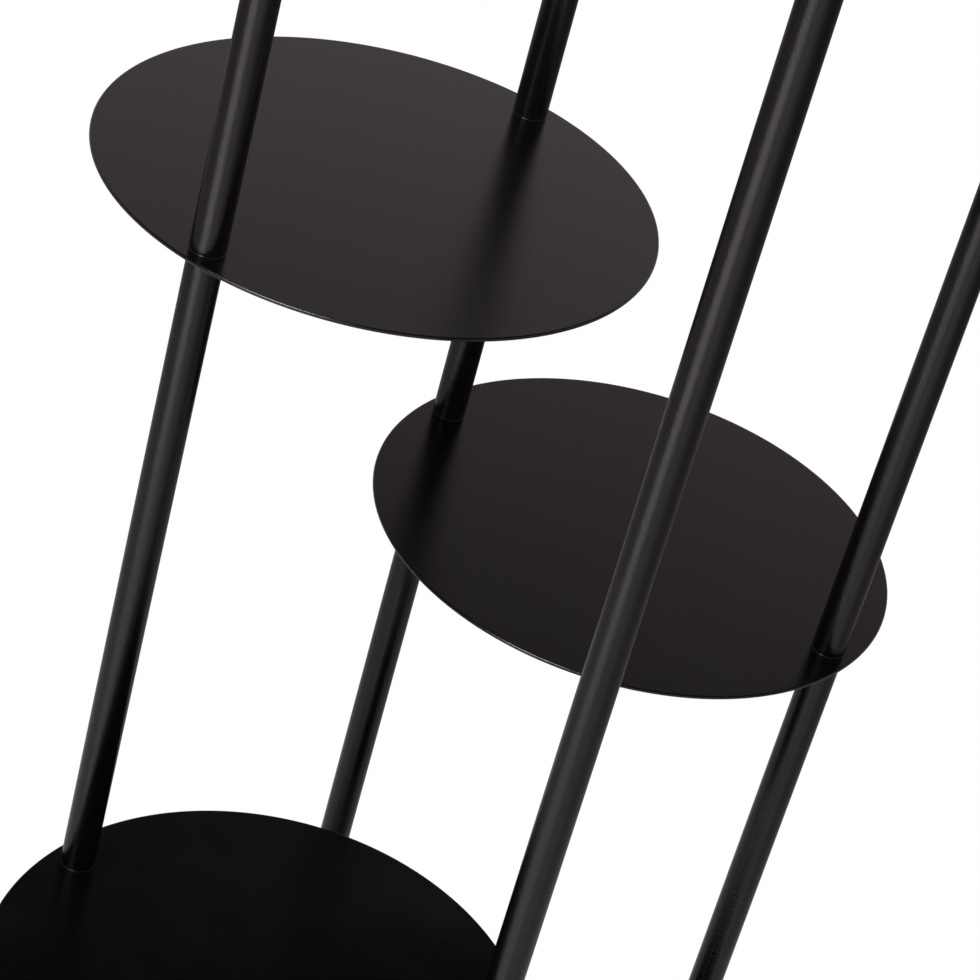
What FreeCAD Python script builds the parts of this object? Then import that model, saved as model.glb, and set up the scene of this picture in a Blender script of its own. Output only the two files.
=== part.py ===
import FreeCAD, Part
import os

import Sketcher
from FreeCAD import Placement, Rotation, Vector

# Plant table: four upright tubes at the corners of a square carry round shelf plates at four levels.
# Each plate is clamped between tube sections at two neighbouring corners, on a stud through its hole.
# Frame: origin on the floor at the centre of the square, +Z up, -Y towards the front.

# Driving sizes in millimetres: alias, value, meaning
driving_sizes = (
    ("shelf_dia", 300, "shelf plate across"),
    ("shelf_thick", 2, "shelf sheet thickness"),
    ("rim_flat", 0.2, "flat band between the rounded edges of a shelf"),
    ("edge_inset", 15, "post axis in from the shelf edge"),
    ("first_level", 200, "top of the lowest shelf above the floor"),
    ("level_step", 200, "rise from one shelf to the next"),
    ("top_rise", 400, "post tops above the highest shelf"),
    ("tube_dia", 19, "post tube outside diameter"),
    ("tube_wall", 1.5, "post tube wall"),
    ("tube_end_round", 0.3, "rounded outer edge of a tube end"),
    ("stud_dia", 8, "joining stud, thread diameter"),
    ("stud_length", 34, "joining stud, end to end"),
    ("stud_chamfer", 1, "chamfer on both stud ends"),
    ("socket_width", 4, "hex key socket across flats"),
    ("socket_depth", 5, "hex key socket depth"),
    ("stud_hole_gap", 0.3, "stud to shelf and washer holes all round"),
    ("thread_gap", 0.05, "stud to plug bore all round"),
    ("plug_spare", 4.5, "thread plug past the end of its stud"),
    ("plug_gap", 0.05, "thread plug to tube bore all round"),
    ("plug_recess", 0.5, "thread plug below the tube end"),
    ("plug_chamfer", 0.8, "lead-in chamfer of a thread plug"),
    ("thread_lead", 0.6, "countersink at the plug mouth"),
    ("washer_thick", 1, "washer between a tube end and a shelf"),
    ("washer_flat", 0.2, "flat band between the rounded edges of a washer"),
    ("foot_head", 5, "foot below the tube"),
    ("foot_round", 1.5, "rounded edge of the foot"),
    ("cap_head", 2.5, "end cap above the tube"),
    ("cap_round", 1.2, "rounded edge of the end cap"),
    ("stem_length", 18, "foot and cap stem in the tube"),
    ("stem_gap", 0.05, "stem barbs to tube bore all round"),
    ("stem_wall", 2, "wall of the hollow stem"),
    ("stem_collar", 2, "plain stem below the barbs"),
    ("stem_tip", 2, "tapered stem past the barbs"),
    ("barb_count", 4, "barbs along a stem"),
    ("barb_depth", 0.8, "barb height above its root"),
    ("barb_relief", 1, "barb cut outside the stem"),
)

doc = FreeCAD.newDocument("plant_table")
sheet = doc.addObject("Spreadsheet::Sheet", "sizes")
for row, (alias, value, meaning) in enumerate(driving_sizes, 1):
    sheet.set(f"A{row}", meaning)
    sheet.set(f"B{row}", str(value))
    sheet.setAlias(f"B{row}", alias)
doc.recompute()

# Sizes that follow from the driving ones
post_offset = "(sizes.shelf_dia / 2 - sizes.edge_inset)"
shelf_edge_round = "((sizes.shelf_thick - sizes.rim_flat) / 2)"
tube_radius = "(sizes.tube_dia / 2)"
bore_radius = f"({tube_radius} - sizes.tube_wall)"
stud_radius = "(sizes.stud_dia / 2)"
stud_hole_radius = f"({stud_radius} + sizes.stud_hole_gap)"
thread_radius = f"({stud_radius} + sizes.thread_gap)"
stud_reach = "((sizes.stud_length - sizes.shelf_thick) / 2)"
plug_length = f"({stud_reach} - sizes.washer_thick - sizes.plug_recess + sizes.plug_spare)"
plug_radius = f"({bore_radius} - sizes.plug_gap)"
washer_round = "((sizes.washer_thick - sizes.washer_flat) / 2)"
stem_radius = f"({bore_radius} - sizes.stem_gap)"
barb_root = f"({stem_radius} - sizes.barb_depth)"
stem_core = f"({barb_root} - sizes.stem_wall)"
barb_pitch = "((sizes.stem_length - sizes.stem_collar - sizes.stem_tip) / sizes.barb_count)"

# Shelves from low to high: name, middle in post offsets, turn that puts the holes on the posts
shelves = (
    ("right", (1, 0), 90),
    ("front", (0, -1), 0),
    ("back", (0, 1), 0),
    ("left", (-1, 0), 90),
)
shelf_order = [shelf[0] for shelf in shelves]

# Posts: name, corner in post offsets, the two shelves that it carries from low to high
posts = (
    ("front_left", (-1, -1), ("front", "left")),
    ("back_left", (-1, 1), ("back", "left")),
    ("front_right", (1, -1), ("right", "front")),
    ("back_right", (1, 1), ("right", "back")),
)

upright = Rotation()
upside_down = Rotation(Vector(1, 0, 0), 180)
same_size = 1e-6

# Sketch references: points of an edge, the two axes, and the sketch origin, where the X axis starts
start_index, end_index, centre_index = 1, 2, 3
x_axis_index, y_axis_index = -1, -2
origin = (x_axis_index, start_index)

hex_sides = 6
nodes = []
cuts = []


def shelf_top(name):
    return f"(sizes.first_level + {shelf_order.index(name)} * sizes.level_step)"


def shelf_underside(name):
    return f"({shelf_top(name)} - sizes.shelf_thick)"


def end_above(name):
    return f"({shelf_top(name)} + sizes.washer_thick)"


def end_below(name):
    return f"({shelf_underside(name)} - sizes.washer_thick)"


post_top = f"({shelf_top(shelf_order[-1])} + sizes.top_rise)"


def new_body(label):
    body = doc.addObject("PartDesign::Body", label)
    body.Label = label
    return body


def place(body, corner, height, rotation):
    body.Placement = Placement(Vector(), rotation)
    body.setExpression("Placement.Base.x", f"{corner[0]} * {post_offset}")
    body.setExpression("Placement.Base.y", f"{corner[1]} * {post_offset}")
    body.setExpression("Placement.Base.z", height)


def new_sketch(body, name, plane_role):
    sketch = body.newObject("Sketcher::SketchObject", name)
    plane = next(item for item in body.Origin.OriginFeatures if item.Role == plane_role)
    sketch.AttachmentSupport = (plane, "")
    sketch.MapMode = "FlatFace"
    return sketch


def bind(sketch, constraint, expression):
    index = sketch.addConstraint(constraint)
    sketch.setExpression(f"Constraints[{index}]", expression)


def add_circle(sketch, radius, offset_x=0):
    size = sheet.evalExpression(radius)
    circle = sketch.addGeometry(Part.Circle(Vector(offset_x, 0, 0), Vector(0, 0, 1), size))
    bind(sketch, Sketcher.Constraint("Radius", circle, size), radius)
    return circle


def add_centred_circle(sketch, radius):
    circle = add_circle(sketch, radius)
    sketch.addConstraint(Sketcher.Constraint("Coincident", circle, centre_index, *origin))


def profile_sketch(body, name, corners):
    # Closed outline of straight lines through (radius, height) corners, for turning about Z
    sketch = new_sketch(body, name, "XZ_Plane")
    places = [Vector(sheet.evalExpression(x), sheet.evalExpression(y), 0) for x, y in corners]
    count = len(corners)
    for index in range(count):
        sketch.addGeometry(Part.LineSegment(places[index], places[(index + 1) % count]))
    for index in range(count):
        before = (index - 1) % count
        sketch.addConstraint(Sketcher.Constraint("Coincident", index, start_index, before, end_index))
    for index, (radius, height) in enumerate(corners):
        if radius == "0":
            sketch.addConstraint(Sketcher.Constraint("PointOnObject", index, start_index, y_axis_index))
        else:
            across = Sketcher.Constraint("DistanceX", *origin, index, start_index, places[index].x)
            bind(sketch, across, radius)
        if height == "0":
            sketch.addConstraint(Sketcher.Constraint("PointOnObject", index, start_index, x_axis_index))
        else:
            up = Sketcher.Constraint("DistanceY", *origin, index, start_index, places[index].y)
            bind(sketch, up, height)
    return sketch


def turned(body, kind, name, corners):
    feature = body.newObject(f"PartDesign::{kind}", name)
    feature.Profile = profile_sketch(body, f"{name}_profile", corners)
    feature.ReferenceAxis = (feature.Profile[0], ["V_Axis"])
    feature.Angle = 360
    return feature


def round_edges(body, name, base, edge_radius, size, at_floor=False):
    # Rounds the circular edges of one radius, all of them or only those at height zero
    doc.recompute()
    radius = sheet.evalExpression(edge_radius)
    names = []
    for number, edge in enumerate(base.Shape.Edges, 1):
        if not isinstance(edge.Curve, Part.Circle):
            continue
        on_floor = abs(edge.Curve.Center.z) < same_size
        if abs(edge.Curve.Radius - radius) < same_size and (on_floor or not at_floor):
            names.append(f"Edge{number}")
    fillet = body.newObject("PartDesign::Fillet", name)
    fillet.Base = (base, names)
    fillet.setExpression("Radius", size)
    return fillet


def make_shelf(label, middle, turn, height):
    # Flat sheet disc, top face at its local zero, with two stud holes across a diameter
    body = new_body(label)
    outline = new_sketch(body, f"{label}_outline", "XY_Plane")
    add_centred_circle(outline, "sizes.shelf_dia / 2")
    disc = body.newObject("PartDesign::Pad", f"{label}_disc")
    disc.Profile = outline
    disc.Reversed = True
    disc.setExpression("Length", "sizes.shelf_thick")

    hole_places = new_sketch(body, f"{label}_hole_places", "XY_Plane")
    offset = sheet.evalExpression(post_offset)
    first = add_circle(hole_places, stud_hole_radius, offset)
    second = add_circle(hole_places, stud_hole_radius, -offset)
    hole_places.addConstraint(Sketcher.Constraint("PointOnObject", first, centre_index, x_axis_index))
    out = Sketcher.Constraint("DistanceX", *origin, first, centre_index, offset)
    bind(hole_places, out, post_offset)
    opposite = Sketcher.Constraint("Symmetric", first, centre_index, second, centre_index, *origin)
    hole_places.addConstraint(opposite)
    stud_holes = body.newObject("PartDesign::Pocket", f"{label}_stud_holes")
    stud_holes.Profile = hole_places
    stud_holes.Type = "ThroughAll"
    cuts.append(stud_holes)

    round_edges(body, f"{label}_edge", stud_holes, "sizes.shelf_dia / 2", shelf_edge_round)
    place(body, middle, height, Rotation(Vector(0, 0, 1), turn))
    nodes.append(body)


def make_tube(label, corner, bottom, top):
    # Straight tube section with its cut ends rounded outside
    body = new_body(label)
    section = new_sketch(body, f"{label}_section", "XY_Plane")
    add_centred_circle(section, tube_radius)
    add_centred_circle(section, bore_radius)
    tube = body.newObject("PartDesign::Pad", f"{label}_tube")
    tube.Profile = section
    tube.setExpression("Length", f"{top} - {bottom}")
    round_edges(body, f"{label}_ends", tube, tube_radius, "sizes.tube_end_round")
    place(body, corner, bottom, upright)
    nodes.append(body)


def make_plug(label, corner, mouth, rotation):
    # Turned plug with a tapped bore, its mouth at local zero and its chamfered end inside the tube
    body = new_body(label)
    turned(body, "Revolution", f"{label}_turning", (
        (f"{thread_radius} + sizes.thread_lead", "0"),
        (plug_radius, "0"),
        (plug_radius, f"{plug_length} - sizes.plug_chamfer"),
        (f"{plug_radius} - sizes.plug_chamfer", plug_length),
        (thread_radius, plug_length),
        (thread_radius, "sizes.thread_lead"),
    ))
    place(body, corner, mouth, rotation)
    nodes.append(body)


def make_washer(label, corner, bottom):
    # Flat washer as wide as the tube, its outer edges rounded
    body = new_body(label)
    ring = turned(body, "Revolution", f"{label}_ring", (
        (stud_hole_radius, "0"),
        (tube_radius, "0"),
        (tube_radius, "sizes.washer_thick"),
        (stud_hole_radius, "sizes.washer_thick"),
    ))
    round_edges(body, f"{label}_edge", ring, tube_radius, washer_round)
    place(body, corner, bottom, upright)
    return body


def make_stud(label, corner, bottom):
    # Headless stud, chamfered at both ends, with a hex key socket in its upper end
    body = new_body(label)
    turned(body, "Revolution", f"{label}_turning", (
        ("0", "0"),
        (f"{stud_radius} - sizes.stud_chamfer", "0"),
        (stud_radius, "sizes.stud_chamfer"),
        (stud_radius, "sizes.stud_length - sizes.stud_chamfer"),
        (f"{stud_radius} - sizes.stud_chamfer", "sizes.stud_length"),
        ("0", "sizes.stud_length"),
    ))
    hexagon = new_sketch(body, f"{label}_hexagon", "XY_Plane")
    hexagon.setExpression("AttachmentOffset.Base.z", "sizes.stud_length")
    corner_radius = "sizes.socket_width / sqrt(3)"
    reach = sheet.evalExpression(corner_radius)
    turns = [Rotation(Vector(0, 0, 1), side * 360 / hex_sides) for side in range(hex_sides)]
    corners = [turn.multVec(Vector(reach, 0, 0)) for turn in turns]
    for side in range(hex_sides):
        hexagon.addGeometry(Part.LineSegment(corners[side - 1], corners[side]))
    guide = add_circle(hexagon, corner_radius)
    hexagon.setConstruction(guide, True)
    hexagon.addConstraint(Sketcher.Constraint("Coincident", guide, centre_index, *origin))
    for side in range(hex_sides):
        before = (side - 1) % hex_sides
        hexagon.addConstraint(Sketcher.Constraint("Coincident", side, start_index, before, end_index))
        hexagon.addConstraint(Sketcher.Constraint("PointOnObject", side, start_index, guide))
    for side in range(1, hex_sides):
        hexagon.addConstraint(Sketcher.Constraint("Equal", 0, side))
    hexagon.addConstraint(Sketcher.Constraint("PointOnObject", 0, end_index, x_axis_index))
    socket = body.newObject("PartDesign::Pocket", f"{label}_socket")
    socket.Profile = hexagon
    socket.setExpression("Length", "sizes.socket_depth")
    cuts.append(socket)
    place(body, corner, bottom, upright)
    return body


def make_insert(label, corner, outer_face, rotation, head, edge_round):
    # Moulded push-in end: a head as wide as the tube and a hollow stem with sawtooth barbs
    body = new_body(label)
    stem_end = f"({head} + sizes.stem_length)"
    moulding = turned(body, "Revolution", f"{label}_moulding", (
        ("0", "0"),
        (tube_radius, "0"),
        (tube_radius, head),
        (stem_radius, head),
        (stem_radius, f"{stem_end} - sizes.stem_tip"),
        (barb_root, stem_end),
        (stem_core, stem_end),
        (stem_core, head),
        ("0", head),
    ))
    round_edges(body, f"{label}_edge", moulding, tube_radius, edge_round, at_floor=True)

    barb_start = f"({head} + sizes.stem_collar)"
    barb_cut = turned(body, "Groove", f"{label}_barb_cut", (
        (stem_radius, barb_start),
        (f"{stem_radius} + sizes.barb_relief", barb_start),
        (f"{stem_radius} + sizes.barb_relief", f"{barb_start} + {barb_pitch}"),
        (barb_root, f"{barb_start} + {barb_pitch}"),
    ))
    cuts.append(barb_cut)
    barbs = body.newObject("PartDesign::LinearPattern", f"{label}_barbs")
    barbs.Originals = [barb_cut]
    barbs.Direction = (barb_cut.Profile[0], ["V_Axis"])
    barbs.setExpression("Length", f"{barb_pitch} * (sizes.barb_count - 1)")
    barbs.setExpression("Occurrences", "sizes.barb_count")
    body.Tip = barbs
    place(body, corner, outer_face, rotation)
    nodes.append(body)


def gather(label, bodies):
    group = doc.addObject("Part::Compound", label)
    group.Label = label
    group.Links = bodies
    nodes.append(group)


for name, middle, turn in shelves:
    make_shelf(f"{name}_shelf", middle, turn, shelf_top(name))

studs = []
washers = []
for post, corner, carried in posts:
    low, high = carried
    sections = (
        ("lower", "sizes.foot_head", end_below(low)),
        ("middle", end_above(low), end_below(high)),
        ("upper", end_above(high), f"({post_top} - sizes.cap_head)"),
    )
    for section, bottom, top in sections:
        make_tube(f"{post}_{section}_tube", corner, bottom, top)
    for shelf, below, above in ((low, "lower", "middle"), (high, "middle", "upper")):
        plug_below = f"{end_below(shelf)} - sizes.plug_recess"
        plug_above = f"{end_above(shelf)} + sizes.plug_recess"
        make_plug(f"{post}_{below}_top_plug", corner, plug_below, upside_down)
        make_plug(f"{post}_{above}_bottom_plug", corner, plug_above, upright)
        washers.append(make_washer(f"{post}_{shelf}_lower_washer", corner, end_below(shelf)))
        washers.append(make_washer(f"{post}_{shelf}_upper_washer", corner, shelf_top(shelf)))
        stud_bottom = f"{shelf_top(shelf)} - (sizes.shelf_thick + sizes.stud_length) / 2"
        studs.append(make_stud(f"{post}_{shelf}_stud", corner, stud_bottom))
    make_insert(f"{post}_foot", corner, "0", upright, "sizes.foot_head", "sizes.foot_round")
    make_insert(f"{post}_cap", corner, post_top, upside_down, "sizes.cap_head", "sizes.cap_round")

gather("joining_studs", studs)
gather("clamp_washers", washers)

doc.recompute()
for item in doc.Objects:
    if "Invalid" in item.State or "Error" in item.State:
        raise RuntimeError(f"{item.Label} did not build")
for cut in cuts:
    if cut.Shape.Volume >= cut.BaseFeature.Shape.Volume:
        raise RuntimeError(f"{cut.Label} removes nothing")
for node in nodes:
    if node.Shape.isNull() or not node.Shape.isValid():
        raise RuntimeError(f"{node.Label} is not a sound solid")

os.makedirs("parts", exist_ok=True)
for node in nodes:
    node.Shape.exportStep(f"parts/{node.Label}.step")
print(f"{len(nodes)} nodes, {sum(len(node.Shape.Solids) for node in nodes)} solids")
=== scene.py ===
import math

import bpy
from mathutils import Matrix, Vector


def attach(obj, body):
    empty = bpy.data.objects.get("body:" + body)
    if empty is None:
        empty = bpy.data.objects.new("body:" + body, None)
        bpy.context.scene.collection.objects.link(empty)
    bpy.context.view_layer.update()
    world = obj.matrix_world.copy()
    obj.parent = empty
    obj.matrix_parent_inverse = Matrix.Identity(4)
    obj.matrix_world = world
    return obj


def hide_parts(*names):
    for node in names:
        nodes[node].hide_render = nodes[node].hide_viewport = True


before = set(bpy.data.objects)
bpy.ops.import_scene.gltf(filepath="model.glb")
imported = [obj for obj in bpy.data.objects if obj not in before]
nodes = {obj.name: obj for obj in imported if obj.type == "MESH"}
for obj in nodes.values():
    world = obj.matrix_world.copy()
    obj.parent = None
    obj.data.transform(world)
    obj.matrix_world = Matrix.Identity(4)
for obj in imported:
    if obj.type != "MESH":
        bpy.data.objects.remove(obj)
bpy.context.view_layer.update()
mm = 0.001
print("frame:", len(nodes), "nodes from the packed model")


def linearColour(hexText):  # sRGB hex to the linear values that shaders take
    shares = [int(hexText[i:i + 2], 16) / 255 for i in (1, 3, 5)]
    return [s / 12.92 if s <= 0.04045 else ((s + 0.055) / 1.055) ** 2.4 for s in shares] + [1.0]


def addNode(tree, kind, inputs=None, **settings):
    # inputs: socket name or number to a value, or to the output that feeds it
    node = tree.nodes.new(kind)
    for name, value in settings.items():
        setattr(node, name, value)
    for name, value in (inputs or {}).items():
        if isinstance(value, bpy.types.NodeSocket):
            tree.links.new(value, node.inputs[name])
        else:
            node.inputs[name].default_value = value
    return node


def newMaterial(name):
    material = bpy.data.materials.new(name)
    material.use_nodes = True
    material.node_tree.nodes.clear()
    return material, material.node_tree


# Satin black polyester powder coat, sprayed and baked on steel: near black, and its fine grain
# blurs what it mirrors, so that tubes and plates show soft dark streaks of one another. It lies
# flatter on the sheet than on the round of the tubes, which blurs the highlights down the posts,
# and its slight orange peel makes their edges uneven.
coat = {
    "darkColour": "#040303",
    "paleColour": "#060505",
    "sheetRoughness": 0.16,
    "tubeRoughness": 0.20,
    "roughnessSpread": 0.03,
    "ior": 1.5,
    "grainMm": 0.35,  # coarser than the real grain, so that it shows
    "grainDetail": 1.0,
    "sheetGrainDepthMm": 0.042,
    "tubeGrainDepthMm": 0.05,
    "peelMm": 1.6,
    "sheetPeelDepthMm": 0.01,
    "tubePeelDepthMm": 0.07,
    "cloudMm": 45.0,  # slow drift of tone and gloss over a piece
    "cloudDetail": 3.0,
    "cloudLow": 0.3,
    "cloudHigh": 0.7,
}


def powderCoat(base):
    material, tree = newMaterial("powder coat, satin black, sprayed and baked on steel " + base)
    roughness, spread = coat[base + "Roughness"], coat["roughnessSpread"]
    place = addNode(tree, "ShaderNodeTexCoord").outputs["Object"]
    cloud = addNode(tree, "ShaderNodeTexNoise", {
        "Vector": place, "Scale": 1 / (coat["cloudMm"] * mm), "Detail": coat["cloudDetail"]})
    rough = addNode(tree, "ShaderNodeMapRange", {
        "Value": cloud.outputs["Fac"], "From Min": coat["cloudLow"], "From Max": coat["cloudHigh"],
        "To Min": roughness - spread, "To Max": roughness + spread})
    tone = addNode(tree, "ShaderNodeMixRGB", {
        "Fac": cloud.outputs["Fac"], "Color1": linearColour(coat["darkColour"]),
        "Color2": linearColour(coat["paleColour"])})
    peel = addNode(tree, "ShaderNodeTexNoise", {
        "Vector": place, "Scale": 1 / (coat["peelMm"] * mm), "Detail": 0.0})
    waves = addNode(tree, "ShaderNodeBump", {
        "Height": peel.outputs["Fac"], "Strength": 1.0,
        "Distance": coat[base + "PeelDepthMm"] * mm})
    grain = addNode(tree, "ShaderNodeTexNoise", {
        "Vector": place, "Scale": 1 / (coat["grainMm"] * mm), "Detail": coat["grainDetail"]})
    bump = addNode(tree, "ShaderNodeBump", {
        "Height": grain.outputs["Fac"], "Strength": 1.0,
        "Distance": coat[base + "GrainDepthMm"] * mm, "Normal": waves.outputs["Normal"]})
    shader = addNode(tree, "ShaderNodeBsdfPrincipled", {
        "Base Color": tone.outputs["Color"], "Roughness": rough.outputs["Result"],
        "IOR": coat["ior"], "Normal": bump.outputs["Normal"]})
    addNode(tree, "ShaderNodeOutputMaterial", {"Surface": shader.outputs["BSDF"]})
    return material


# Bright zinc plate over turned steel: pale bluish metal with fine rings left by the lathe tool.
zinc = {
    "darkColour": "#b4b9c0",
    "paleColour": "#ced0d2",
    "roughness": 0.30,
    "roughnessSpread": 0.08,
    "ringMm": 0.18,
    "ringWander": 0.4,
    "ringDepthMm": 0.004,
    "ringStrength": 0.6,
    "spangleMm": 1.2,
}


def zincPlate():
    material, tree = newMaterial("bright zinc plate, turned steel")
    roughness, spread = zinc["roughness"], zinc["roughnessSpread"]
    place = addNode(tree, "ShaderNodeTexCoord").outputs["Object"]
    rings = addNode(tree, "ShaderNodeTexWave", {  # a wave repeats every pi / 10 over its scale
        "Vector": place, "Scale": math.pi / 10 / (zinc["ringMm"] * mm),
        "Distortion": zinc["ringWander"]}, bands_direction="Z")
    spangle = addNode(tree, "ShaderNodeTexNoise", {
        "Vector": place, "Scale": 1 / (zinc["spangleMm"] * mm)})
    rough = addNode(tree, "ShaderNodeMapRange", {
        "Value": spangle.outputs["Fac"], "To Min": roughness - spread,
        "To Max": roughness + spread})
    tone = addNode(tree, "ShaderNodeMixRGB", {
        "Fac": spangle.outputs["Fac"], "Color1": linearColour(zinc["darkColour"]),
        "Color2": linearColour(zinc["paleColour"])})
    bump = addNode(tree, "ShaderNodeBump", {
        "Height": rings.outputs["Fac"], "Strength": zinc["ringStrength"],
        "Distance": zinc["ringDepthMm"] * mm})
    shader = addNode(tree, "ShaderNodeBsdfPrincipled", {
        "Base Color": tone.outputs["Color"], "Metallic": 1.0,
        "Roughness": rough.outputs["Result"], "Normal": bump.outputs["Normal"]})
    addNode(tree, "ShaderNodeOutputMaterial", {"Surface": shader.outputs["BSDF"]})
    return material


# Black plastic, injection moulded: the feet and caps matt, with the fine pebbled grain of a
# spark-eroded mould, the washers smoother, so that their edge catches a small highlight under
# each post.
plastic = {
    "darkColour": "#0f0f0f",
    "paleColour": "#161616",
    "mattRoughness": 0.55,
    "smoothRoughness": 0.15,
    "roughnessSpread": 0.05,
    "ior": 1.51,
    "pebbleMm": 0.4,
    "mattPebbleDepthMm": 0.02,
    "smoothPebbleDepthMm": 0.002,
    "pebbleStrength": 0.5,
}


def mouldedPlastic(kind, surface):
    material, tree = newMaterial(kind + ", black, moulded " + surface)
    roughness, spread = plastic[surface + "Roughness"], plastic["roughnessSpread"]
    place = addNode(tree, "ShaderNodeTexCoord").outputs["Object"]
    pebble = addNode(tree, "ShaderNodeTexVoronoi", {
        "Vector": place, "Scale": 1 / (plastic["pebbleMm"] * mm)}, feature="SMOOTH_F1")
    rough = addNode(tree, "ShaderNodeMapRange", {
        "Value": pebble.outputs["Distance"], "To Min": roughness - spread,
        "To Max": roughness + spread})
    tone = addNode(tree, "ShaderNodeMixRGB", {
        "Fac": pebble.outputs["Distance"], "Color1": linearColour(plastic["darkColour"]),
        "Color2": linearColour(plastic["paleColour"])})
    bump = addNode(tree, "ShaderNodeBump", {
        "Height": pebble.outputs["Distance"], "Strength": plastic["pebbleStrength"],
        "Distance": plastic[surface + "PebbleDepthMm"] * mm})
    shader = addNode(tree, "ShaderNodeBsdfPrincipled", {
        "Base Color": tone.outputs["Color"], "Roughness": rough.outputs["Result"],
        "IOR": plastic["ior"], "Normal": bump.outputs["Normal"]})
    addNode(tree, "ShaderNodeOutputMaterial", {"Surface": shader.outputs["BSDF"]})
    return material


sheetMaterial = powderCoat("sheet")
tubeMaterial = powderCoat("tube")
zincMaterial = zincPlate()
mattPlasticMaterial = mouldedPlastic("polyethylene", "matt")
smoothPlasticMaterial = mouldedPlastic("nylon", "smooth")
print("finishes: powder coat, zinc plate, moulded plastic")


def nodeBox(name):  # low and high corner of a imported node
    corners = [nodes[name].matrix_world @ vertex.co for vertex in nodes[name].data.vertices]
    return [Vector([pick(corner[axis] for corner in corners) for axis in range(3)])
            for pick in (min, max)]


def findStuds():  # a stud stands where a post meets a shelf
    posts = [sum(nodeBox(name), Vector()) / 2 for name in nodes if name.endswith("_foot")]
    places = []
    for name in nodes:
        if name.endswith("_shelf"):
            low, high = nodeBox(name)
            centre = (low + high) / 2
            places += [Vector((post.x, post.y, centre.z)) for post in posts
                       if (post - centre).xy.length < (high - low).x / 2]
    return places


studPlaces = findStuds()
creaseDegrees = 35  # edges sharper than this stay sharp


def newTree(name, sockets):
    tree = bpy.data.node_groups.new(name, "GeometryNodeTree")
    tree.interface.new_socket("Places", in_out="INPUT", socket_type="NodeSocketGeometry")
    for label, kind in sockets.items():
        tree.interface.new_socket(label, in_out="INPUT", socket_type="NodeSocket" + kind)
    tree.interface.new_socket("Geometry", in_out="OUTPUT", socket_type="NodeSocketGeometry")
    return tree, addNode(tree, "NodeGroupInput").outputs


def endTree(tree, shape, places, material):  # one copy at each place, smooth but for its creases
    angle = addNode(tree, "GeometryNodeInputMeshEdgeAngle").outputs["Unsigned Angle"]
    sharp = addNode(tree, "ShaderNodeMath", {0: angle, 1: math.radians(creaseDegrees)},
                    operation="GREATER_THAN")
    soft = addNode(tree, "GeometryNodeSetShadeSmooth", {"Geometry": shape, "Shade Smooth": True})
    creased = addNode(tree, "GeometryNodeSetShadeSmooth", {
        "Geometry": soft.outputs[0], "Selection": sharp.outputs[0], "Shade Smooth": False},
        domain="EDGE")
    copies = addNode(tree, "GeometryNodeInstanceOnPoints", {
        "Points": places, "Instance": creased.outputs[0]})
    real = addNode(tree, "GeometryNodeRealizeInstances", {"Geometry": copies.outputs[0]})
    coated = addNode(tree, "GeometryNodeSetMaterial", {
        "Geometry": real.outputs[0], "Material": material})
    addNode(tree, "NodeGroupOutput", {0: coated.outputs[0]})


def outerRound(tree, curve, radius, steps):  # rounds a section's corners on its outer side only
    place = addNode(tree, "GeometryNodeInputPosition").outputs[0]
    across = addNode(tree, "ShaderNodeSeparateXYZ", {0: place}).outputs["X"]
    outer = addNode(tree, "ShaderNodeMath", {0: across, 1: 0.0}, operation="GREATER_THAN")
    size = addNode(tree, "ShaderNodeMath", {0: outer.outputs[0], 1: radius}, operation="MULTIPLY")
    return addNode(tree, "GeometryNodeFilletCurve", {
        "Curve": curve, "Count": steps, "Radius": size.outputs[0]}, mode="POLY").outputs[0]


def sweptRing(tree, radius, section, sides):  # a section carried once around the upright axis
    ring = addNode(tree, "GeometryNodeCurvePrimitiveCircle", {
        "Resolution": sides, "Radius": radius})
    return addNode(tree, "GeometryNodeCurveToMesh", {
        "Curve": ring.outputs[0], "Profile Curve": section}).outputs[0]


def grow(name, tree, values, places, replaced):
    seed = bpy.data.meshes.new(name)
    seed.from_pydata([tuple(place) for place in places], [], [])
    piece = bpy.data.objects.new(name, seed)
    bpy.context.scene.collection.objects.link(piece)
    run = piece.modifiers.new("grow", "NODES")
    run.node_group = tree
    for socket in tree.interface.items_tree:
        if socket.in_out == "INPUT" and socket.name in values:
            run[socket.identifier] = values[socket.name]
    piece.modifiers.new("even", "WEIGHTED_NORMAL").keep_sharp = True
    evaluated = piece.evaluated_get(bpy.context.evaluated_depsgraph_get())
    mesh = bpy.data.meshes.new_from_object(evaluated)
    piece.modifiers.clear()
    piece.data = mesh
    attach(piece, "root")
    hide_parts(replaced)
    return len(mesh.polygons)


def collarTree():  # an upright tube, long or short, with its ends rounded outside
    tree, given = newTree("collar", {
        "Radius": "Float", "Length": "Float", "Wall": "Float", "End Round": "Float",
        "Sides": "Int", "Steps": "Int", "Finish": "Material"})
    section = addNode(tree, "GeometryNodeCurvePrimitiveQuadrilateral", {
        "Width": given["Wall"], "Height": given["Length"]})
    rounded = outerRound(tree, section.outputs[0], given["End Round"], given["Steps"])
    middle = addNode(tree, "ShaderNodeMath", {0: given["Wall"], 1: -0.5, 2: given["Radius"]},
                     operation="MULTIPLY_ADD")
    shape = sweptRing(tree, middle.outputs[0], rounded, given["Sides"])
    endTree(tree, shape, given["Places"], given["Finish"])
    return tree


collar = collarTree()

# Post tubes: drawn round tube, cut ends rounded outside
tube = {"wallMm": 1.5, "endRoundMm": 0.3, "sides": 128, "roundSteps": 4}


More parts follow.
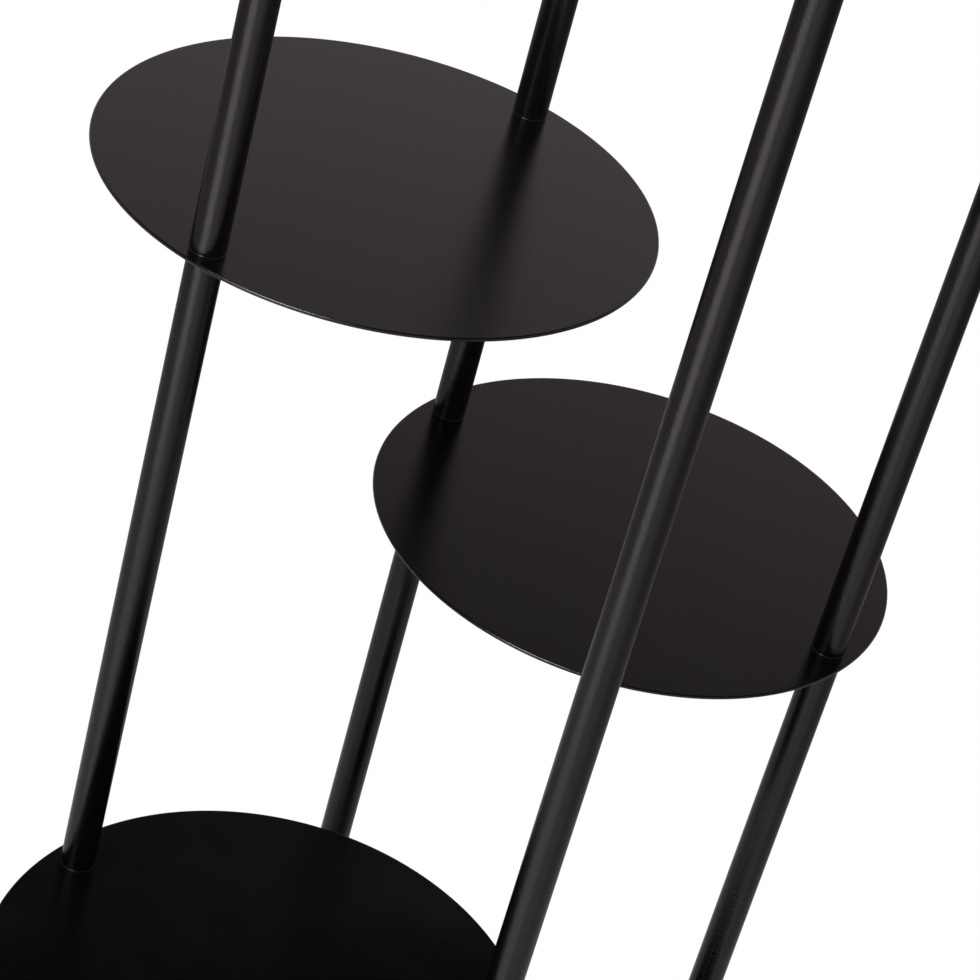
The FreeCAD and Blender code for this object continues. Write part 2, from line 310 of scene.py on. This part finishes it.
def makeTubes():
    faces = 0
    for name in nodes:
        if name.endswith("_tube"):
            low, high = nodeBox(name)
            size, centre = high - low, (low + high) / 2
            values = {
                "Radius": size.x / 2, "Length": size.z, "Wall": tube["wallMm"] * mm,
                "End Round": tube["endRoundMm"] * mm, "Sides": tube["sides"],
                "Steps": tube["roundSteps"], "Finish": tubeMaterial}
            faces += grow(name + "_fine", collar, values, [centre], name)
    print("tubes:", faces, "faces")


makeTubes()

# Shelf plates: punched sheet discs with a rounded rim and two stud holes
shelf = {"edgeRoundMm": 0.9, "holeMm": 8.6, "sides": 360, "roundSteps": 8, "holeSides": 48,
         "weldMm": 0.01, "punchLength": 4.0}  # length of the punch in thicknesses of the sheet


def shelfTree():
    tree, given = newTree("shelf plate", {
        "Radius": "Float", "Thickness": "Float", "Edge Round": "Float", "Hole Radius": "Float",
        "First Hole": "Vector", "Second Hole": "Vector", "Sides": "Int", "Steps": "Int",
        "Hole Sides": "Int"})
    section = addNode(tree, "GeometryNodeCurvePrimitiveQuadrilateral", {
        "Width": given["Radius"], "Height": given["Thickness"]})
    rounded = outerRound(tree, section.outputs[0], given["Edge Round"], given["Steps"])
    middle = addNode(tree, "ShaderNodeMath", {0: given["Radius"], 1: 0.5}, operation="MULTIPLY")
    disc = addNode(tree, "GeometryNodeMergeByDistance", {
        "Geometry": sweptRing(tree, middle.outputs[0], rounded, given["Sides"]),
        "Distance": shelf["weldMm"] * mm})
    depth = addNode(tree, "ShaderNodeMath", {0: given["Thickness"], 1: shelf["punchLength"]},
                    operation="MULTIPLY")
    punch = addNode(tree, "GeometryNodeMeshCylinder", {
        "Vertices": given["Hole Sides"], "Radius": given["Hole Radius"],
        "Depth": depth.outputs[0]})
    punched = disc.outputs[0]
    for hole in ("First Hole", "Second Hole"):
        moved = addNode(tree, "GeometryNodeTransform", {
            "Geometry": punch.outputs["Mesh"], "Translation": given[hole]})
        punched = addNode(tree, "GeometryNodeMeshBoolean", {
            "Mesh 1": punched, "Mesh 2": moved.outputs[0]},
            operation="DIFFERENCE", solver="EXACT").outputs["Mesh"]
    endTree(tree, punched, given["Places"], sheetMaterial)
    return tree


def makeShelves():
    tree = shelfTree()
    faces = 0
    for name in nodes:
        if name.endswith("_shelf"):
            low, high = nodeBox(name)
            size, centre = high - low, (low + high) / 2
            # the two studs that stand within a millimetre of this sheet's height
            holes = [place - centre for place in studPlaces if abs(place.z - centre.z) < mm]
            values = {
                "Radius": size.x / 2, "Thickness": size.z,
                "Edge Round": shelf["edgeRoundMm"] * mm, "Hole Radius": shelf["holeMm"] / 2 * mm,
                "First Hole": holes[0], "Second Hole": holes[1], "Sides": shelf["sides"],
                "Steps": shelf["roundSteps"], "Hole Sides": shelf["holeSides"]}
            faces += grow(name + "_fine", tree, values, [centre], name)
    print("shelves:", faces, "faces")


makeShelves()

# Clamp washers: moulded rings above and below each shelf hole, as wide as the tube
washer = {"acrossMm": 19.0, "holeMm": 8.6, "thickMm": 1.0, "edgeRoundMm": 0.2, "liftMm": 1.5,
          "sides": 96, "roundSteps": 4}


def makeWashers():
    lift = Vector((0, 0, washer["liftMm"] * mm))  # from the middle of the sheet to the washer's
    places = [place + lift * side for place in studPlaces for side in (-1, 1)]
    values = {
        "Radius": washer["acrossMm"] / 2 * mm, "Length": washer["thickMm"] * mm,
        "Wall": (washer["acrossMm"] - washer["holeMm"]) / 2 * mm,
        "End Round": washer["edgeRoundMm"] * mm, "Sides": washer["sides"],
        "Steps": washer["roundSteps"], "Finish": smoothPlasticMaterial}
    faces = grow("clamp_washers_fine", collar, values, places, "clamp_washers")
    print("washers:", len(places), "with", faces, "faces")


makeWashers()

# Joining studs: headless M8 with a cut thread, chamfered ends and a hex key socket in the top
stud = {"threadMm": 8.0, "pitchMm": 1.25, "depthMm": 0.77, "rootCut": 0.875, "lengthMm": 34.0,
        "chamferMm": 1.0, "socketMm": 4.0, "socketDepthMm": 5.0, "sides": 36, "ringsPerTurn": 5}

# The thread worked out a step a row: result, operation, two terms
threadSums = (
    ("angle", "ARCTAN2", "Y", "X"),
    ("turn", "DIVIDE", "angle", 2 * math.pi),
    ("climb", "DIVIDE", "Z", "Pitch"),
    ("phase", "SUBTRACT", "climb", "turn"),
    ("flank", "PINGPONG", "phase", 0.5),
    ("slope", "MULTIPLY", "flank", 2.0),
    ("groove", "MINIMUM", "slope", stud["rootCut"]),
    ("cutIn", "MULTIPLY", "groove", "Depth"),
    ("threadRadius", "SUBTRACT", "Radius", "cutIn"),
    ("halfLength", "MULTIPLY", "Length", 0.5),
    ("height", "ABSOLUTE", "Z", 0.0),
    ("toEnd", "SUBTRACT", "halfLength", "height"),
    ("tipRadius", "SUBTRACT", "Radius", "Chamfer"),
    ("coneRadius", "ADD", "tipRadius", "toEnd"),
    ("outline", "MINIMUM", "threadRadius", "coneRadius"),
    ("share", "DIVIDE", "outline", "Radius"),
    ("keyCorner", "DIVIDE", "Socket", math.sqrt(3)),
    ("keyLength", "MULTIPLY", "Socket Depth", 2.0),
)


def studTree():
    lengths = ("Radius", "Pitch", "Depth", "Length", "Chamfer", "Socket", "Socket Depth")
    sockets = {label: "Float" for label in lengths}
    tree, given = newTree("threaded stud", {**sockets, "Sides": "Int", "Rings": "Int"})
    rod = addNode(tree, "GeometryNodeMeshCylinder", {
        "Vertices": given["Sides"], "Side Segments": given["Rings"],
        "Radius": given["Radius"], "Depth": given["Length"]})
    place = addNode(tree, "GeometryNodeInputPosition").outputs[0]
    part = addNode(tree, "ShaderNodeSeparateXYZ", {0: place}).outputs
    value = {label: given[label] for label in lengths}
    value.update({axis: part[axis] for axis in "XYZ"})
    for name, operation, first, second in threadSums:
        terms = {0: value.get(first, first), 1: value.get(second, second)}
        value[name] = addNode(tree, "ShaderNodeMath", terms, operation=operation).outputs[0]
    spread = addNode(tree, "ShaderNodeCombineXYZ", {
        "X": value["share"], "Y": value["share"], "Z": 1.0})
    moved = addNode(tree, "ShaderNodeVectorMath", {0: place, 1: spread.outputs[0]},
                    operation="MULTIPLY")
    cut = addNode(tree, "GeometryNodeSetPosition", {
        "Geometry": rod.outputs["Mesh"], "Position": moved.outputs[0]})
    key = addNode(tree, "GeometryNodeMeshCylinder", {
        "Vertices": 6, "Radius": value["keyCorner"], "Depth": value["keyLength"]})
    top = addNode(tree, "ShaderNodeCombineXYZ", {"Z": value["halfLength"]})
    raised = addNode(tree, "GeometryNodeTransform", {
        "Geometry": key.outputs["Mesh"], "Translation": top.outputs[0]})
    shape = addNode(tree, "GeometryNodeMeshBoolean", {
        "Mesh 1": cut.outputs[0], "Mesh 2": raised.outputs[0]},
        operation="DIFFERENCE", solver="EXACT")
    endTree(tree, shape.outputs["Mesh"], given["Places"], zincMaterial)
    return tree


def makeStuds():
    values = {
        "Radius": stud["threadMm"] / 2 * mm, "Pitch": stud["pitchMm"] * mm,
        "Depth": stud["depthMm"] * mm, "Length": stud["lengthMm"] * mm,
        "Chamfer": stud["chamferMm"] * mm, "Socket": stud["socketMm"] * mm,
        "Socket Depth": stud["socketDepthMm"] * mm, "Sides": stud["sides"],
        "Rings": round(stud["lengthMm"] / stud["pitchMm"] * stud["ringsPerTurn"])}
    faces = grow("joining_studs_fine", studTree(), values, studPlaces, "joining_studs")
    print("studs:", len(studPlaces), "with", faces, "faces")


makeStuds()

# Plugs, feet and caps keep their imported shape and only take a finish
for name, node in nodes.items():
    if name.endswith(("_plug", "_foot", "_cap")):
        node.data.materials.clear()
        node.data.materials.append(
            zincMaterial if name.endswith("_plug") else mattPlasticMaterial)
print("plugs, feet and caps: finished")

# Studio: a white floor with painted shade near the stand, seen and mirrored, and a wall that fades
# to a dark ceiling
studio = {
    "floorSizeM": 60.0,
    "floorColour": "#ffffff",
    "backColour": "#ffffff",
    "groundTint": "#fff6f5",
    "paintedShadeM": 0.25,  # how far the painted shade around a foot or the lowest shelf reaches on the floor that the camera sees
    "paintedMirrorShadeM": 0.45,  # how far the painted shadow under the shelves reaches on the floor that the tubes mirror
    "paintedMirrorShadeDepth": 4.0,  # and how deeply, as a power
    "groundBlend": 0.04,  # sine of the slope over which the ground goes over into the wall
    "farGround": -0.45,  # sine of the slope at which the ground counts as far, near and below
    "nearGround": -0.62,
    "belowGround": -0.90,
}

# What a plate mirrors above the horizon: sine of the elevation, tone of the wall
wallTones = (
    (0.00, "#ffffff"), (0.10, "#f0efef"), (0.18, "#cdcccc"), (0.40, "#beb1b0"),
    (0.509, "#9f9493"), (0.578, "#827978"), (0.60, "#5a5352"), (0.625, "#000000"),
)

# What a tube mirrors below the horizon, by compass direction: degrees from the front to the
# right, level of the far ground, level of the near ground
groundLevels = (
    (-180, 0.14, 0.28), (-153, 0.25, 0.35), (-125, 0.18, 0.42), (-70, 0.16, 0.38),
    (-30, 0.34, 0.46), (15, 0.66, 0.44), (45, 0.80, 0.46), (60, 0.60, 0.46),
    (80, 0.26, 0.32), (105, 0.12, 0.26), (140, 0.09, 0.24), (180, 0.14, 0.28),
)


def makeFloor():
    half = studio["floorSizeM"] / 2
    corners = [(-half, -half, 0), (half, -half, 0), (half, half, 0), (-half, half, 0)]
    mesh = bpy.data.meshes.new("floor")
    mesh.from_pydata(corners, [], [(0, 1, 2, 3)])
    floor = bpy.data.objects.new("floor", mesh)
    bpy.context.scene.collection.objects.link(floor)
    material, tree = newMaterial("white paper floor")
    white = linearColour(studio["floorColour"])
    paper = addNode(tree, "ShaderNodeBsdfDiffuse", {"Color": white})
    # the floor the camera sees glows at strength 1, with painted shade from ambient occlusion near
    # the feet and the lowest shelf
    shade = addNode(tree, "ShaderNodeAmbientOcclusion", {
        "Color": white, "Distance": studio["paintedShadeM"]})
    seen = addNode(tree, "ShaderNodeEmission", {
        "Color": shade.outputs["Color"], "Strength": 1.0})
    # painted shadow: ambient occlusion to a power darkens the ground that the tubes mirror near
    # the stand
    under = addNode(tree, "ShaderNodeAmbientOcclusion", {
        "Color": white, "Distance": studio["paintedMirrorShadeM"]})
    paintedMirrorShadow = addNode(tree, "ShaderNodeGamma", {
        "Color": under.outputs["Color"], "Gamma": studio["paintedMirrorShadeDepth"]})
    ground = addNode(tree, "ShaderNodeBsdfTransparent", {  # lets the tubes see the ground levels, dimmed by a painted shadow under the stand
        "Color": paintedMirrorShadow.outputs["Color"]})
    ray = addNode(tree, "ShaderNodeLightPath")
    mirrored = addNode(tree, "ShaderNodeMixShader", {
        0: ray.outputs["Is Glossy Ray"], 1: paper.outputs[0], 2: ground.outputs[0]})
    both = addNode(tree, "ShaderNodeMixShader", {
        0: ray.outputs["Is Camera Ray"], 1: mirrored.outputs[0], 2: seen.outputs[0]})
    addNode(tree, "ShaderNodeOutputMaterial", {"Surface": both.outputs[0]})
    mesh.materials.append(material)


def makeWorld():
    world = bpy.data.worlds.new("studio")
    world.use_nodes = True
    tree = world.node_tree
    tree.nodes.clear()
    direction = addNode(tree, "ShaderNodeTexCoord").outputs["Generated"]
    part = addNode(tree, "ShaderNodeSeparateXYZ", {0: direction}).outputs
    front = addNode(tree, "ShaderNodeMath", {0: part["Y"], 1: -1.0}, operation="MULTIPLY")
    bearing = addNode(tree, "ShaderNodeMath", {0: part["X"], 1: front.outputs[0]},
                      operation="ARCTAN2")
    share = addNode(tree, "ShaderNodeMapRange", {
        "Value": bearing.outputs[0], "From Min": -math.pi, "From Max": math.pi}).outputs["Result"]
    tint = Vector(linearColour(studio["groundTint"]))
    bands = {
        "wall": (part["Z"], [(sine, linearColour(tone)) for sine, tone in wallTones]),
        "far": (share, [(turn / 360 + 0.5, tint * far) for turn, far, near in groundLevels]),
        "near": (share, [(turn / 360 + 0.5, tint * near) for turn, far, near in groundLevels]),
    }
    light = {}
    for name, (along, stops) in bands.items():
        ramp = addNode(tree, "ShaderNodeValToRGB", {"Fac": along})
        while len(ramp.color_ramp.elements) < len(stops):
            ramp.color_ramp.elements.new(1.0)
        for element, (position, colour) in zip(ramp.color_ramp.elements, stops):
            element.position = position
            element.color = colour
        light[name] = addNode(tree, "ShaderNodeBackground", {
            "Color": ramp.outputs["Color"], "Strength": 1.0}).outputs[0]
    light["white"] = addNode(tree, "ShaderNodeBackground", {
        "Color": linearColour(studio["backColour"]), "Strength": 1.0}).outputs[0]
    mixed = light["far"]
    for other, start, end in (("near", studio["farGround"], studio["nearGround"]),
                              ("white", studio["nearGround"], studio["belowGround"]),
                              ("wall", -studio["groundBlend"], 0.0)):
        amount = addNode(tree, "ShaderNodeMapRange", {
            "Value": part["Z"], "From Min": start, "From Max": end})
        mixed = addNode(tree, "ShaderNodeMixShader", {
            0: amount.outputs["Result"], 1: mixed, 2: light[other]}).outputs[0]
    ray = addNode(tree, "ShaderNodeLightPath")
    seen = addNode(tree, "ShaderNodeMixShader", {
        0: ray.outputs["Is Camera Ray"], 1: mixed, 2: light["white"]})
    addNode(tree, "ShaderNodeOutputWorld", {"Surface": seen.outputs[0]})
    bpy.context.scene.world = world


# Lamps, in metres and watts: where each stands, where it points, its size, power and colour
lamps = {
    "softBox": {"place": (-0.22, -1.28, 3.05), "target": (0, 0, 0.8), "size": (1.2, 1.0),
                "power": 66, "colour": "#ffffff"},
    "frontBox": {"place": (-0.2, -3.0, 2.05), "target": (-0.135, 0, 0.8), "size": (1.1, 0.35),
                 "power": 10, "colour": "#ffffff"},
    "cardNear": {"place": (0.04, -1.0, 0.004), "target": (0.04, -1.0, 1), "size": (0.9, 1.0),
                 "power": 0.8, "colour": "#fff6f5"},
    "cardFar": {"place": (0.06, -2.55, 0.004), "target": (0.06, -2.55, 1), "size": (1.6, 2.6),
                "power": 14.5, "colour": "#fff6f5"},
}


def makeLamps():
    for name, lamp in lamps.items():
        light = bpy.data.lights.new(name, "AREA")
        light.shape = "ELLIPSE"
        light.size, light.size_y = lamp["size"]
        light.energy = lamp["power"]
        light.color = linearColour(lamp["colour"])[:3]
        holder = bpy.data.objects.new(name, light)
        place = Vector(lamp["place"])
        aim = (Vector(lamp["target"]) - place).to_track_quat("-Z", "Y")
        holder.matrix_world = Matrix.Translation(place) @ aim.to_matrix().to_4x4()
        holder.visible_camera = False
        bpy.context.scene.collection.objects.link(holder)


makeFloor()
makeWorld()
makeLamps()
print("studio: floor, wall and", len(lamps), "lamps")

# Camera: standing in front to the right, looking down, tilted about its own axis; angles in
# degrees, lens and sensor in millimetres
shot = {
    "location": (0.637, -1.2216, 1.5719),
    "azimuth": 28.34,
    "down": 33.06,
    "roll": 15.86,
    "lens": 115.88,
    "sensor": 36.0,
}


def makeCamera():
    camera = bpy.data.cameras.new("camera")
    camera.sensor_width = shot["sensor"]
    camera.lens = shot["lens"]
    holder = bpy.data.objects.new("camera", camera)
    turn = Matrix.Rotation(math.radians(shot["azimuth"]), 4, "Z")
    tilt = Matrix.Rotation(math.radians(90 - shot["down"]), 4, "X")
    roll = Matrix.Rotation(math.radians(shot["roll"]), 4, "Z")
    holder.matrix_world = Matrix.Translation(shot["location"]) @ turn @ tilt @ roll
    bpy.context.scene.collection.objects.link(holder)
    bpy.context.scene.camera = holder


makeCamera()
bpy.context.scene.view_settings.view_transform = "Standard"
print("camera: set")
